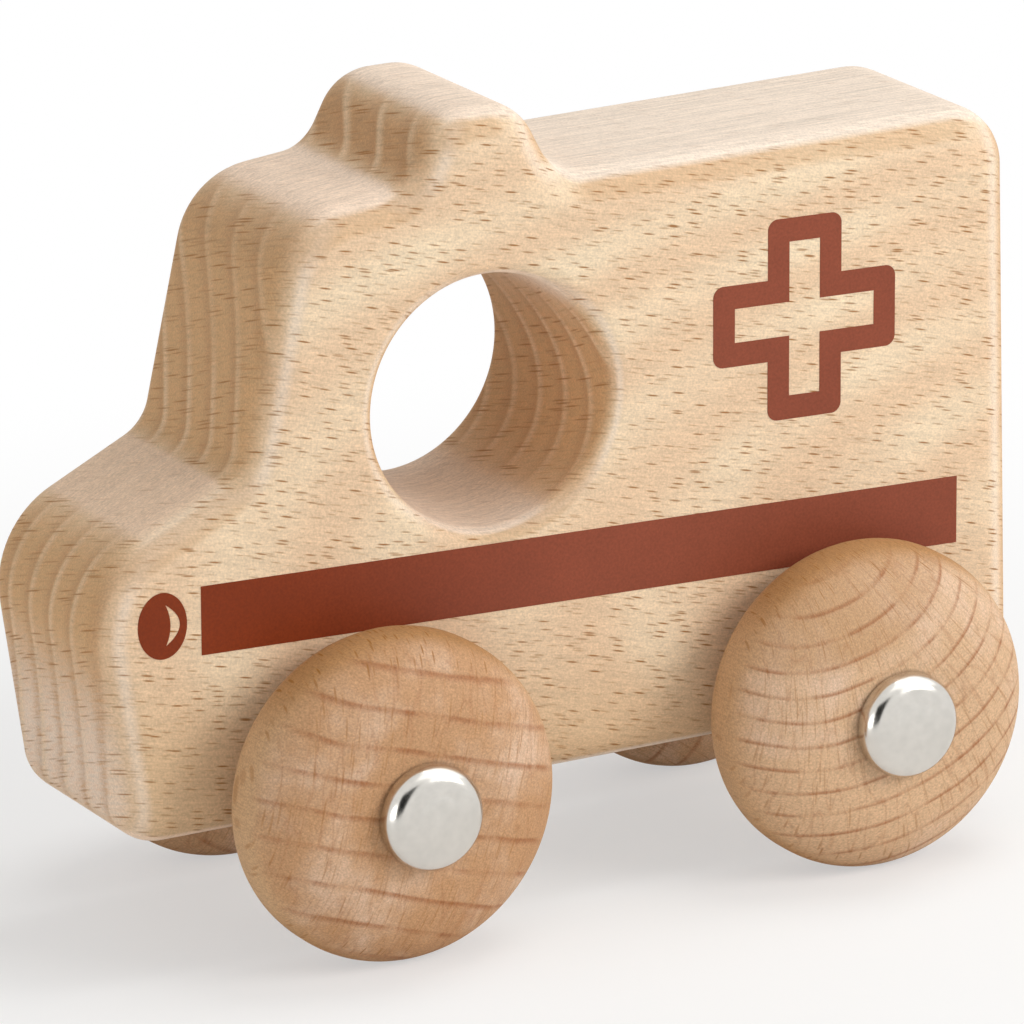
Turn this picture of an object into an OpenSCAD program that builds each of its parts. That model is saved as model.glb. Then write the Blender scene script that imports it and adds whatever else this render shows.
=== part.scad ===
// Toy ambulance: a rounded beech block on two steel axles, with four turned wheels.
// Millimetres. X runs from nose to tail, Z is up, the toy's left side faces -Y.
// The origin is on the floor, under the middle of the toy.

/* [Block] */
// Thickness of the block, side to side
block_thickness = 31.2; // [26:0.1:44]
// Length between the sharp corners of the nose and the foot of the tail
block_length = 121.5; // [118:0.1:150]
// Radius of the round-over along every edge of the profile
edge_round = 4.8; // [1:0.1:5]
// Height of the axle centres above the underside of the block
axle_inset = 4.2; // [3.5:0.1:10]

/* [Nose and hood] */
// Height of the sharp nose corner above the underside
nose_height = 33; // [26:0.1:36]
// Lean of the front face, in degrees from upright
nose_lean = 6.7; // [0:0.1:12]
// Radius between the front face and the hood
nose_round = 13; // [6:0.5:16]
// Radius at the foot of the front face
nose_foot_round = 6; // [5:0.5:9]
// Setback of the foot of the windscreen behind the nose corner
cowl_setback = 20.4; // [16:0.1:22]
// Height of the foot of the windscreen above the underside
cowl_height = 42.7; // [36:0.1:44]
// Radius in the hollow between hood and windscreen
cowl_round = 5.5; // [2:0.5:9]

/* [Cab and roof] */
// Setback of the top of the windscreen behind the nose corner
cab_setback = 27.6; // [22:0.1:30]
// Height of the top of the windscreen above the underside
cab_height = 71.3; // [66:0.1:72]
// Radius between windscreen and cab roof
cab_round = 10.5; // [5:0.5:14]
// Height of the roof at the front foot of the beacon, above the underside
roof_height = 72.8; // [70:0.1:76]
// Height of the roof at the rear foot of the beacon, above the underside
box_height = 71.6; // [70:0.1:76]
// Height of the roof at the tail, above the underside
tail_height = 72; // [70:0.1:84]
// Lean of the tail face, in degrees from upright, below zero where its top overhangs
tail_lean = -0.6; // [-2:0.1:6]
// Radius between roof and tail
tail_round = 7.5; // [5:0.5:12]
// Radius at the foot of the tail
tail_foot_round = 6; // [5:0.5:9]

/* [Roof beacon] */
// Setback of the middle of the beacon behind the nose corner
beacon_setback = 52.7; // [47:0.1:60]
// Height of the top of the beacon above the underside
beacon_height = 81.1; // [78:0.1:84]
// Width of the beacon at the roof
beacon_foot_width = 20.2; // [17:0.1:24]
// Width between the sharp top corners of the beacon
beacon_top_width = 11; // [8:0.1:13]
// Radius of the top corners of the beacon
beacon_round = 7; // [5:0.5:9]
// Radius in the hollows at the foot of the beacon
beacon_foot_round = 5.5; // [1:0.5:6]

/* [Window] */
// Diameter of the window that is bored through the block
window_d = 30.2; // [20:0.1:32]
// Setback of the window centre behind the nose corner
window_setback = 52.4; // [48:0.1:60]
// Height of the window centre above the underside
window_height = 46.3; // [40:0.1:52]
// Radius of the rounded rim of the window
window_rim_round = 2.5; // [0.5:0.1:4]

/* [Wheels and axles] */
// Diameter of the wheels
wheel_d = 39.4; // [30:0.1:46]
// Width of a wheel at its hub
wheel_width = 14; // [13:0.5:20]
// Rise of the domed outer face of a wheel
wheel_dome = 8.5; // [2:0.5:9.5]
// Radius at the inner edge of a wheel
wheel_inner_round = 4; // [0.5:0.1:5]
// Diameter of the flat hub in the middle of the domed face
wheel_hub_d = 14; // [13:0.5:18]
// Setback of the front axle behind the nose corner
front_axle_setback = 34.1; // [30:0.1:40]
// Distance between the two axles
wheelbase = 62.5; // [50:0.1:70]
// Diameter of the axle rods
axle_d = 4; // [3:0.1:5]
// Radial running clearance of the rods in the block and in the wheels
running_clearance = 0.08; // [0.02:0.01:0.1]
// Gap between the block and a wheel
wheel_gap = 2; // [0.4:0.1:3]

/* [Axle caps] */
// Diameter of an axle cap
cap_d = 12.6; // [10:0.1:16]
// Height of an axle cap, from its foot to the edge of its face
cap_height = 2.7; // [2.4:0.1:5]
// Rise of the slightly crowned face of a cap
cap_crown = 0.3; // [0.1:0.05:0.6]
// Radius of the rolled edge of a cap
cap_round = 2; // [0.8:0.1:2.2]
// Sheet thickness of a cap
cap_wall = 0.4; // [0.3:0.05:0.6]
// Width of the lip that is crimped under the lock ring
cap_lip = 1.1; // [0.7:0.1:1.4]
// Gap between a wheel and its cap
cap_gap = 0.3; // [0.1:0.1:1]
// Thickness of the star lock ring inside a cap
ring_thickness = 0.5; // [0.3:0.05:0.7]
// Width of the slots between the teeth of a lock ring
ring_slot = 0.7; // [0.4:0.1:1]
// Number of teeth on a lock ring
ring_teeth = 6; // [4:1:8]
// Gap between a lock ring and the cap or rod that it sits in or on
ring_fit = 0.02; // [0.01:0.01:0.05]

/* [Printed sides] */
// Thickness of the ink film
ink = 0.1; // [0.05:0.01:0.2]
// Turn of the prints on the side of the block, in degrees, below zero where they fall to the tail
print_turn = -1.8; // [-3:0.1:3]
// Setback of the front end of the stripe behind the nose corner
stripe_setback = 14; // [13:0.1:20]
// Length of the stripe
stripe_length = 99.4; // [60:0.1:102]
// Width of the stripe
stripe_width = 8.2; // [4:0.1:12]
// Height of the middle of the stripe's front end above the underside
stripe_height = 26.7; // [22:0.1:30]
// Setback of the middle of the headlamp behind the nose corner
lamp_setback = 9.1; // [8.8:0.1:10]
// Height of the middle of the headlamp above the underside
lamp_height = 26.9; // [20:0.1:27]
// Length of the headlamp along the body
lamp_length = 6.2; // [4:0.1:6.4]
// Height of the oval of the headlamp
lamp_rise = 7.9; // [6.5:0.1:9]
// Height of the bare crescent in the headlamp
glint_rise = 4.9; // [3:0.1:5]
// Setback of the tips of the crescent behind the middle of the headlamp
glint_setback = 0.4; // [0:0.1:0.6]
// Bulge of the rear edge of the crescent
glint_bulge = 1.8; // [1.2:0.1:2]
// Widest part of the crescent
glint_width = 1.2; // [0.6:0.1:1.6]
// Setback of the middle of the cross behind the nose corner
cross_setback = 93.4; // [86:0.1:98]
// Height of the middle of the cross above the underside
cross_height = 50.4; // [46:0.1:54]
// Span of the cross outline, edge to edge
cross_span = 24.3; // [20:0.1:28]
// Width of an arm of the cross outline
cross_arm = 9.8; // [8:0.1:12]
// Line width of the cross outline
cross_line = 2.85; // [1:0.05:3.5]
// Radius of the outer corners of the cross outline
cross_round = 1.3; // [0.3:0.1:2]

/* [Hidden] */

beech = "#e3c08f";
turned_beech = "#d3a877";
ink_red = "#92443a";
nickel = "#cfccc8";
steel = "#a9abad";

left = -1;
right = 1;
half = block_thickness / 2;
wheel_r = wheel_d / 2;
axle_r = axle_d / 2;
bore_r = axle_r + running_clearance;
underside = wheel_r - axle_inset;
arc_step = 9;
edge_steps = 6;
ellipse_steps = 40;
turning_step = 15;
dome_step = 6;
crown_steps = 6;
glint_steps = 8;
overcut = 1;

// Depth by which the arc of the window rim runs past the side face, to meet it at a clean edge
rim_overrun = 0.15;
window_r = window_d / 2;
rim_depth = window_rim_round - rim_overrun;
rim_face_r = window_r + window_rim_round - sqrt(pow(window_rim_round, 2) - pow(rim_depth, 2));

// Places outward from the side face of the block
wheel_face = wheel_gap + wheel_width;
cap_foot = wheel_face + cap_gap;
rod_end = cap_foot + cap_height - 2 * cap_wall;
rod_chamfer = 0.4;

function to_left(v) = [-v[1], v[0]];
function unit(v) = v / norm(v);
function turned(v, a) = [v[0] * cos(a) - v[1] * sin(a), v[0] * sin(a) + v[1] * cos(a)];
function signed_angle(u, v) = atan2(u[0] * v[1] - u[1] * v[0], u * v);

// One rounded corner of a clockwise outline, as [point, outward normal] pairs.
// The radius is limited so that the arcs of neighbouring corners never run into each other.
function corner(before, at, after) =
    let (
        here = [at[0], at[1]],
        arrival = here - [before[0], before[1]],
        departure = [after[0], after[1]] - here,
        arriving = unit(arrival),
        turn = signed_angle(arrival, departure),
        room = min(norm(arrival), norm(departure)) / 2,
        radius = min(at[2], room / tan(abs(turn) / 2)),
        bulge = turn < 0 ? radius : -radius,
        start = here - arriving * radius * tan(abs(turn) / 2),
        centre = start - to_left(arriving) * bulge,
        steps = ceil(abs(turn) / arc_step)
    )
    [for (k = [0 : steps])
        let (normal = turned(to_left(arriving), turn * k / steps))
        [centre + normal * bulge, normal]];

// A closed outline from corners that are given as [x, z, radius], clockwise
function rounded(corners) =
    let (n = len(corners))
    [for (i = [0 : n - 1])
        each corner(corners[(i + n - 1) % n], corners[i], corners[(i + 1) % n])];

function points_of(outline) = [for (p = outline) p[0]];

// The side profile, measured back from the sharp nose corner and up from the underside
profile = [
    [nose_height * tan(nose_lean), 0, nose_foot_round],
    [0, nose_height, nose_round],
    [cowl_setback, cowl_height, cowl_round],
    [cab_setback, cab_height, cab_round],
    [beacon_setback - beacon_foot_width / 2, roof_height, beacon_foot_round],
    [beacon_setback - beacon_top_width / 2, beacon_height, beacon_round],
    [beacon_setback + beacon_top_width / 2, beacon_height, beacon_round],
    [beacon_setback + beacon_foot_width / 2, box_height, beacon_foot_round],
    [block_length - tail_height * tan(tail_lean), tail_height, tail_round],
    [block_length, 0, tail_foot_round]
];
outline = rounded(profile);
reach = [for (p = outline) p[0][0]];
middle = (min(reach) + max(reach)) / 2;

front_axle_x = front_axle_setback - middle;
rear_axle_x = front_axle_x + wheelbase;

// Rings of the block from the left face to the right face: [distance from the middle, inset]
face_rings = [for (k = [0 : edge_steps])
    let (a = 90 * (1 - k / edge_steps))
    [half - edge_round + edge_round * sin(a), edge_round * (1 - cos(a))]];
rings = concat(
    [for (k = [0 : edge_steps]) [-face_rings[k][0], face_rings[k][1]]],
    [for (k = [edge_steps : -1 : 0]) face_rings[k]]
);

module block_skin() {
    n = len(outline);
    last = len(rings) - 1;
    points = [for (ring = rings, p = outline)
        let (q = p[0] - p[1] * ring[1])
        [q[0] - middle, ring[0], q[1] + underside]];
    walls = [for (j = [0 : last - 1], i = [0 : n - 1])
        let (next = (i + 1) % n)
        [j * n + i, (j + 1) * n + i, (j + 1) * n + next, j * n + next]];
    left_face = [for (i = [0 : n - 1]) i];
    right_face = [for (i = [n - 1 : -1 : 0]) last * n + i];
    polyhedron(points, concat([left_face, right_face], walls));
}

// Turns a shape that stands on Z so that it stands out from one side of the block
module on_side(x, z, side) {
    translate([x, side * half, z])
    rotate([-90 * side, 0, 0])
    children();
}

// The space of the window, with a rounded rim at both faces of the block
module window_cut() {
    wall = half - rim_depth;
    translate([window_setback - middle, 0, window_height + underside])
    rotate([90, 0, 0])
    rotate_extrude($fn = 96)
    difference() {
        translate([0, -half - overcut])
        square([window_r + window_rim_round, block_thickness + 2 * overcut]);
        translate([window_r, -wall])
        square([window_rim_round + overcut, 2 * wall]);
        for (end = [-1, 1])
            translate([window_r + window_rim_round, end * wall])
            circle(window_rim_round, $fn = 64);
    }
}

module axle_bore(x) {
    translate([x, 0, wheel_r])
    rotate([90, 0, 0])
    cylinder(r = bore_r, h = block_thickness + 2 * overcut, center = true, $fn = 48);
}

module body_block() {
    color(beech)
    difference() {
        block_skin();
        window_cut();
        axle_bore(front_axle_x);
        axle_bore(rear_axle_x);
    }
}

// A plain rod with chamfered ends, which reaches into both caps
module axle(x) {
    reach = half + rod_end;
    color(steel)
    translate([x, 0, wheel_r])
    rotate([90, 0, 0])
    rotate_extrude($fn = 48)
    polygon([
        [0, -reach],
        [axle_r - rod_chamfer, -reach],
        [axle_r, rod_chamfer - reach],
        [axle_r, reach - rod_chamfer],
        [axle_r - rod_chamfer, reach],
        [0, reach]
    ]);
}

module wheel(x, side) {
    hub_r = wheel_hub_d / 2;
    inner_edge = [for (a = [-90 : turning_step : 0])
        [wheel_r - wheel_inner_round * (1 - cos(a)), wheel_inner_round * (1 + sin(a))]];
    dome = [for (a = [0 : dome_step : 90])
        [hub_r + (wheel_r - hub_r) * cos(a), wheel_width - wheel_dome * (1 - sin(a))]];
    color(turned_beech)
    on_side(x, wheel_r, side)
    translate([0, 0, wheel_gap])
    rotate_extrude($fn = 96)
    polygon(concat([[bore_r, 0]], inner_edge, dome, [[bore_r, wheel_width]]));
}

// The rolled edge and crowned face of a cap, from its edge to its middle
function cap_line(inset) =
    let (
        r = cap_d / 2 - cap_round,
        edge = cap_round - inset
    )
    concat(
        [for (a = [0 : turning_step : 90]) [r + edge * cos(a), cap_height - cap_round + edge * sin(a)]],
        [for (k = [1 : crown_steps])
            let (s = 1 - k / crown_steps)
            [r * s, cap_height - inset + cap_crown * (1 - s * s)]]
    );

// Inner radius of a cap at one height above its foot
function cap_bore(height) =
    let (
        edge = cap_round - cap_wall,
        rise = max(height - cap_height + cap_round, 0)
    )
    cap_d / 2 - cap_round + sqrt(pow(edge, 2) - pow(rise, 2));

module cap(x, side) {
    shell = cap_line(0);
    hollow = cap_line(cap_wall);
    inside = [for (k = [len(hollow) - 1 : -1 : 0]) hollow[k]];
    lip = [
        [cap_d / 2 - cap_wall, cap_wall],
        [cap_d / 2 - cap_lip, cap_wall],
        [cap_d / 2 - cap_lip, 0],
        [cap_d / 2, 0]
    ];
    color(nickel)
    on_side(x, wheel_r, side)
    translate([0, 0, cap_foot])
    rotate_extrude($fn = 96)
    polygon(concat(shell, inside, lip));
}

// A flat spring ring that lies on the lip of the cap, its teeth gripping the rod
module lock_ring(x, side) {
    outer_r = cap_bore(cap_wall + ring_thickness) - ring_fit;
    inner_r = axle_r + ring_fit;
    slot_end = (inner_r + outer_r) / 2;
    color(steel)
    on_side(x, wheel_r, side)
    translate([0, 0, cap_foot + cap_wall])
    difference() {
        cylinder(r = outer_r, h = ring_thickness, $fn = 64);
        translate([0, 0, -overcut])
        cylinder(r = inner_r, h = ring_thickness + 2 * overcut, $fn = 48);
        for (k = [1 : ring_teeth])
            rotate([0, 0, 360 * k / ring_teeth])
            translate([0, -ring_slot / 2, -overcut])
            cube([slot_end, ring_slot, ring_thickness + 2 * overcut]);
    }
}

// A film of ink on one side of the block, drawn in X and Z around a place on that side and turned there
module side_print(setback, height, side) {
    color(ink_red)
    translate([setback - middle, side * half + (side == right ? ink : 0), height + underside])
    rotate([90, -print_turn, 0])
    linear_extrude(ink)
    children();
}

// Corners of a cross of one span and arm width, clockwise
function cross_corners(span, arm, tip_round) =
    let (
        s = span / 2,
        a = arm / 2,
        quarter = [[-s, a, tip_round], [-a, a, 0], [-a, s, tip_round]]
    )
    [for (k = [0 : 3], c = quarter)
        let (p = turned([c[0], c[1]], -90 * k))
        [p[0], p[1], c[2]]];

module cross_print(side) {
    side_print(cross_setback, cross_height, side)
    difference() {
        polygon(points_of(rounded(cross_corners(cross_span, cross_arm, cross_round))));
        polygon([for (c = cross_corners(cross_span - 2 * cross_line, cross_arm - 2 * cross_line, 0))
            [c[0], c[1]]]);
    }
}

// A plain bar, which stops short of the rim of the window where the two would meet
module stripe_print(side) {
    window = turned([window_setback - stripe_setback, window_height - stripe_height], -print_turn);
    side_print(stripe_setback, stripe_height, side)
    difference() {
        translate([0, -stripe_width / 2])
        square([stripe_length, stripe_width]);
        translate(window)
        circle(rim_face_r, $fn = 96);
    }
}

// An oval with a crescent left bare near its rear edge
module headlamp_print(side) {
    oval = [for (k = [0 : ellipse_steps - 1])
        let (a = 360 * k / ellipse_steps)
        [lamp_length / 2 * cos(a), lamp_rise / 2 * sin(a)]];
    bows = [for (k = [-glint_steps : glint_steps])
        let (t = k / glint_steps)
        [1 - t * t, glint_rise / 2 * t]];
    rear_edge = [for (b = bows) [glint_setback + glint_bulge * b[0], b[1]]];
    front_edge = [for (k = [len(bows) - 2 : -1 : 1])
        [glint_setback + (glint_bulge - glint_width) * bows[k][0], bows[k][1]]];
    side_print(lamp_setback, lamp_height, side)
    difference() {
        polygon(oval);
        polygon(concat(rear_edge, front_edge));
    }
}

body_block();
axle(front_axle_x);  // front_axle
axle(rear_axle_x);  // rear_axle
wheel(front_axle_x, left);  // front_left_wheel
wheel(front_axle_x, right);  // front_right_wheel
wheel(rear_axle_x, left);  // rear_left_wheel
wheel(rear_axle_x, right);  // rear_right_wheel
cap(front_axle_x, left);  // front_left_cap
cap(front_axle_x, right);  // front_right_cap
cap(rear_axle_x, left);  // rear_left_cap
cap(rear_axle_x, right);  // rear_right_cap
lock_ring(front_axle_x, left);  // front_left_lock_ring
lock_ring(front_axle_x, right);  // front_right_lock_ring
lock_ring(rear_axle_x, left);  // rear_left_lock_ring
lock_ring(rear_axle_x, right);  // rear_right_lock_ring
cross_print(left);  // left_cross_print
cross_print(right);  // right_cross_print
stripe_print(left);  // left_stripe_print
stripe_print(right);  // right_stripe_print
headlamp_print(left);  // left_headlamp_print
headlamp_print(right);  // right_headlamp_print
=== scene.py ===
"""Toy ambulance: the looks of a small beech push toy, built around its CAD frame.

Metres. X runs from nose to tail, Z is up, and the toy's left side faces -Y.
"""

import math

import bmesh
import bpy
from bpy.props import FloatProperty, FloatVectorProperty, PointerProperty
from mathutils import Matrix, Vector


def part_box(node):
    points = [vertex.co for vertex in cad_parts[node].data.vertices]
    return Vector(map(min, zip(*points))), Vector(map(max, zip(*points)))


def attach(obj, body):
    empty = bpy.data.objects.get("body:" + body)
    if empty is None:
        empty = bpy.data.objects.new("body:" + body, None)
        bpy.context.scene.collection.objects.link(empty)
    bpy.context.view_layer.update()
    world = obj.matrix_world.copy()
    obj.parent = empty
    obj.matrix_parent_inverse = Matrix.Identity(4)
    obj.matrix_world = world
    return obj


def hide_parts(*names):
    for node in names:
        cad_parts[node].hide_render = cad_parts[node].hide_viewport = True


bl_info = {
    "name": "Toy Ambulance",
    "version": (1, 0, 0),
    "blender": (4, 5, 0),
    "location": "3D View > Sidebar > Toy Ambulance",
    "description": "Models and finishes a beech toy ambulance around its CAD frame",
    "category": "Object",
}

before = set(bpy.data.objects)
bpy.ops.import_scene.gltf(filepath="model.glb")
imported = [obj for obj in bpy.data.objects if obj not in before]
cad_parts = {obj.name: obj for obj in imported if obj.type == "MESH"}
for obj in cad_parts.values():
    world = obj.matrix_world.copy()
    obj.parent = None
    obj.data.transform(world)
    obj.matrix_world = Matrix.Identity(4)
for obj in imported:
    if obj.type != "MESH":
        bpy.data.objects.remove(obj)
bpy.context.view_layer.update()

MM = 0.001

# Vertices closer than this are welded into one
WELD = 0.002 * MM
# Steps of the rounded outlines, the round-overs, the turned pieces, the headlamp and the bores
ARC_STEP = math.radians(4.5)
ROUND_STEPS = 10
TURNED_STEPS = 144
DOME_STEPS = 24
CROWN_STEPS = 18
OVAL_STEPS = 64
GLINT_STEPS = 16
BORE_STEPS = 48
# Edges that turn less than this are shaded as one smooth surface
SMOOTH_ANGLE = math.radians(32)
# Play of a wheel on its rod, on the diameter
WHEEL_PLAY = 0.16 * MM

AXLE_LINE = (0.0, 1.0, 0.0)
SIDES = ("left", "right")
ENDS = ("front", "rear")
WHEELS = [f"{end}_{side}" for end in ENDS for side in SIDES]


def extent(node):
    """Size of a CAD node's box."""
    low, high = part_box(node)
    return high - low


def centre(node):
    """Middle of a CAD node's box."""
    low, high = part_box(node)
    return (low + high) / 2


def linear(hex_colour):
    """An sRGB hex colour as linear red, green and blue, by the curve of that standard."""
    shares = [int(hex_colour[i:i + 2], 16) / 255 for i in (1, 3, 5)]
    return tuple(s / 12.92 if s <= 0.04045 else ((s + 0.055) / 1.055) ** 2.4 for s in shares)


def size(name, description, metres):
    """A length for the sidebar."""
    return FloatProperty(name=name, description=description, default=metres, precision=5,
                         subtype="DISTANCE", unit="LENGTH")


def number(name, description, value, **settings):
    """A plain number for the sidebar, zero or more."""
    return FloatProperty(name=name, description=description, default=value, min=0.0, **settings)


def angle(name, description, degrees):
    """An angle for the sidebar."""
    return FloatProperty(name=name, description=description, default=math.radians(degrees),
                         subtype="ANGLE", unit="ROTATION")


def colour(name, description, hex_colour):
    """A colour for the sidebar."""
    return FloatVectorProperty(name=name, description=description, default=linear(hex_colour),
                               size=3, min=0.0, max=1.0, subtype="COLOR")


def place(name, description, millimetres):
    """A point for the sidebar."""
    return FloatVectorProperty(name=name, description=description,
                               default=[c * MM for c in millimetres], size=3,
                               subtype="TRANSLATION", unit="LENGTH")


class AmbulanceBlock(bpy.types.PropertyGroup):
    """Sizes of the block, measured back from the sharp nose corner and up from the underside."""
    thickness: size("Thickness", "Side to side", extent("body_block").y)
    length: size("Length", "Sharp nose corner to the foot of the tail", 121.5 * MM)
    edge_round: size("Edge round-over", "Radius along every edge of the outline", 4.8 * MM)
    nose_height: size("Nose height", "Sharp nose corner above the underside", 33 * MM)
    nose_lean: angle("Nose lean", "Lean of the front face from upright", 6.7)
    nose_round: size("Nose radius", "Between the front face and the hood", 13 * MM)
    foot_round: size("Foot radius", "At the feet of the front face and of the tail", 6 * MM)
    cowl_setback: size("Cowl setback", "Foot of the windscreen behind the nose", 20.4 * MM)
    cowl_height: size("Cowl height", "Foot of the windscreen above the underside", 42.7 * MM)
    cowl_round: size("Cowl radius", "In the hollow between hood and windscreen", 5.5 * MM)
    cab_setback: size("Cab setback", "Top of the windscreen behind the nose", 27.6 * MM)
    cab_height: size("Cab height", "Top of the windscreen above the underside", 71.3 * MM)
    cab_round: size("Cab radius", "Between windscreen and roof", 10.5 * MM)
    roof_height: size("Roof height", "At the front foot of the beacon", 72.8 * MM)
    box_height: size("Box height", "Roof at the rear foot of the beacon", 71.6 * MM)
    tail_height: size("Tail height", "Roof at the tail, above the underside", 72 * MM)
    tail_lean: angle("Tail lean", "Lean from upright, below zero where its top overhangs", -0.6)
    tail_round: size("Tail radius", "Between roof and tail", 7.5 * MM)
    beacon_setback: size("Beacon setback", "Middle of the beacon behind the nose", 52.7 * MM)
    beacon_height: size("Beacon height", "Top of the beacon above the underside", 81.1 * MM)
    beacon_foot: size("Beacon foot", "Width of the beacon at the roof", 20.2 * MM)
    beacon_top: size("Beacon top", "Width between its sharp top corners", 11 * MM)
    beacon_round: size("Beacon radius", "Of its top corners", 7 * MM)
    beacon_foot_round: size("Beacon foot radius", "In the hollows at its foot", 5.5 * MM)
    window_diameter: size("Window", "Diameter of the bored window", 30.2 * MM)
    window_setback: size("Window setback", "Its centre behind the nose", 52.4 * MM)
    window_height: size("Window height", "Its centre above the underside", 46.3 * MM)
    window_round: size("Window rim radius", "Round-over of the window's rim", 2.5 * MM)
    bore_clearance: size("Bore clearance", "Play of a rod in its bore, on the radius", 0.08 * MM)


class AmbulanceWheels(bpy.types.PropertyGroup):
    """Sizes of the turned wheels and their caps."""
    diameter: size("Wheel diameter", "Across the rim", extent("front_left_wheel").z)
    width: size("Wheel width", "Inner face to hub", extent("front_left_wheel").y)
    dome: size("Dome", "Rise of the outer face", 8.5 * MM)
    inner_round: size("Inner radius", "At the inner edge of the rim", 4 * MM)
    hub: size("Hub", "Diameter of the flat in the middle of the dome", 14 * MM)
    bore: size("Bore", "Diameter of the hole for the rod", extent("front_axle").z + WHEEL_PLAY)
    cap_diameter: size("Cap diameter", "Across the axle cap", extent("front_left_cap").z)
    cap_height: size("Cap height", "Foot to the middle of the face", extent("front_left_cap").y)
    cap_crown: size("Cap crown", "Rise of the cap's face", 0.3 * MM)
    cap_round: size("Cap edge", "Radius of the rolled edge", 2 * MM)
    cap_lip: size("Cap lip", "Width of the crimped lip at the foot", 1.1 * MM)
    cap_wall: size("Cap wall", "Sheet thickness", 0.4 * MM)
    dent: size("Stamped ring", "Depth of the faint ring stamped in the cap's face", 0.025 * MM)


class AmbulancePrints(bpy.types.PropertyGroup):
    """Sizes of the printed ink."""
    film: size("Film", "Thickness of the ink", 0.06 * MM)
    halo: size("Halo", "Width of the thin edge of the ink", 0.22 * MM)
    turn: angle("Turn", "Of the prints on the side, below zero where they fall to the tail", -1.8)
    stripe_length: size("Stripe length", "End to end", 99.4 * MM)
    stripe_width: size("Stripe width", "Across the stripe", 8.2 * MM)
    cross_span: size("Cross span", "Edge to edge of the outline", 24.3 * MM)
    cross_arm: size("Cross arm", "Width of an arm of the outline", 9.8 * MM)
    cross_line: size("Cross line", "Line width of the outline", 2.85 * MM)
    cross_round: size("Cross radius", "Outer corners at the arm tips", 1.3 * MM)
    lamp_length: size("Headlamp length", "Along the body", 6.2 * MM)
    lamp_rise: size("Headlamp rise", "Height of the oval", 7.9 * MM)
    glint_rise: size("Glint rise", "Height of the bare crescent in the headlamp", 4.9 * MM)
    glint_setback: size("Glint setback", "Tips of the crescent behind the lamp's middle", 0.4 * MM)
    glint_bulge: size("Glint bulge", "Of the rear edge of the crescent", 1.8 * MM)
    glint_width: size("Glint width", "Widest part of the crescent", 1.2 * MM)


class AmbulanceFinishes(bpy.types.PropertyGroup):
    """Colours of the wood, ink and metal."""
    board: colour("Board", "Beech on a flat-sawn face", "#EBD5B5")
    board_late: colour("Board bands", "Late wood on a flat-sawn face", "#E2C3A1")
    # Painted shade: the sides darkened near the underside, where the wheels and floor shade them
    board_painted_shade: colour("Low board", "Browner beech near the underside", "#D6B690")
    # Partly the grain's own browner tone, partly painted shade on the rounded edges
    edge: colour("Flat-sawn edge", "Beech where a rounded edge lies square to the rays", "#C79F72")
    flake: colour("Quartered", "Beech on a quarter-sawn face", "#F0DECB")
    flake_front: colour("Quartered front", "The same near the nose", "#F3D7BD")
    end: colour("End grain", "Early wood on an end-grain face", "#D7AD7E")
    # Painted bounce light and sheen: the end grain paled near the underside, as if lit from the floor
    end_painted_bounce: colour("Low end grain", "The same near the underside", "#F5DEC8")
    end_late: colour("End-grain bands", "Late wood on an end-grain face", "#B38860")
    ring: colour("Ring line", "Pale line between two growth rings", "#E2C5A2")
    fleck: colour("Ray flecks", "Cut ends of the rays", "#986328")
    wheel_rim: colour("Wheel rim", "Side grain of a wheel", "#C6A078")
    wheel_flat: colour("Flat-sawn rim", "Side grain at the top and bottom of a wheel", "#AF8253")
    wheel_face: colour("Wheel face", "Early wood on a wheel's face", "#BE926A")
    # A lighter tone for a wheel's face, taken fully by the rear left wheel and by half by the right
    # wheels
    wheel_light: colour("Light wheel face", "Early wood on a lighter wheel", "#CFAB87")
    wheel_late: colour("Wheel rings", "Late wood on a wheel's face", "#9A6039")
    wheel_pale: colour("Wheel pores", "Pale pore patches on a wheel's face", "#DCBEA4")
    # The red ink is darker near the nose and paler towards the tail
    ink_front: colour("Full ink", "Red ink near the nose", "#7E300C")
    ink: colour("Ink", "Red ink where it is thinner", "#89452F")
    ink_edge: colour("Ink edge", "Thin tone at the ink's edge", "#AE6638")
    nickel: colour("Nickel", "Plating of the caps", "#D6D2CB")
    steel: colour("Steel", "Rods and lock rings", "#A9AAA8")


class AmbulanceStage(bpy.types.PropertyGroup):
    """Camera, lamps, floor and cards."""
    eye: place("Camera", "Place of the camera", (-475.91, -941.65, 359.8))
    aim: place("Aim", "Point that the camera looks at", (-7.39, -15.6, 48.51))
    roll: angle("Roll", "Turn of the camera about its line of sight", -1.9)
    lens: number("Lens", "Focal length on a 36 mm sensor, in millimetres", 328.88)
    key: place("Key lamp", "Place of the large soft lamp at the right of the camera",
               (430, -520, 360))
    key_power: number("Key power", "Watts", 2.9, unit="POWER")
    top: place("Top lamp", "Place of the soft lamp overhead", (240, 20, 680))
    top_power: number("Top power", "Watts", 1.6, unit="POWER")
    fill: place("Fill lamp", "Place of the weak lamp in front of the nose", (-620, -260, 40))
    fill_power: number("Fill power", "Watts", 1.25, unit="POWER")
    lamp_size: size("Lamp size", "Diameter of each lamp", 0.42)
    sky: number("Sky", "Strength of the even white light", 0.42)
    floor: colour("Floor", "Plain pale floor", "#F4F3F1")
    floor_clear: size("Clear floor", "Distance at which the floor has faded to white", 0.22)
    flag: place("Flag", "Place of the dark card that the caps mirror", (-230, -390, 160))
    flag_size: size("Flag size", "Width of the dark card", 0.34)
    card: place("White card", "Place of the bright card that the caps mirror", (270, -170, 500))
    card_size: size("White card size", "Width of the bright card", 0.7)
    card_glow: number("White card glow", "Strength of the bright card", 1.7)


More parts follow.
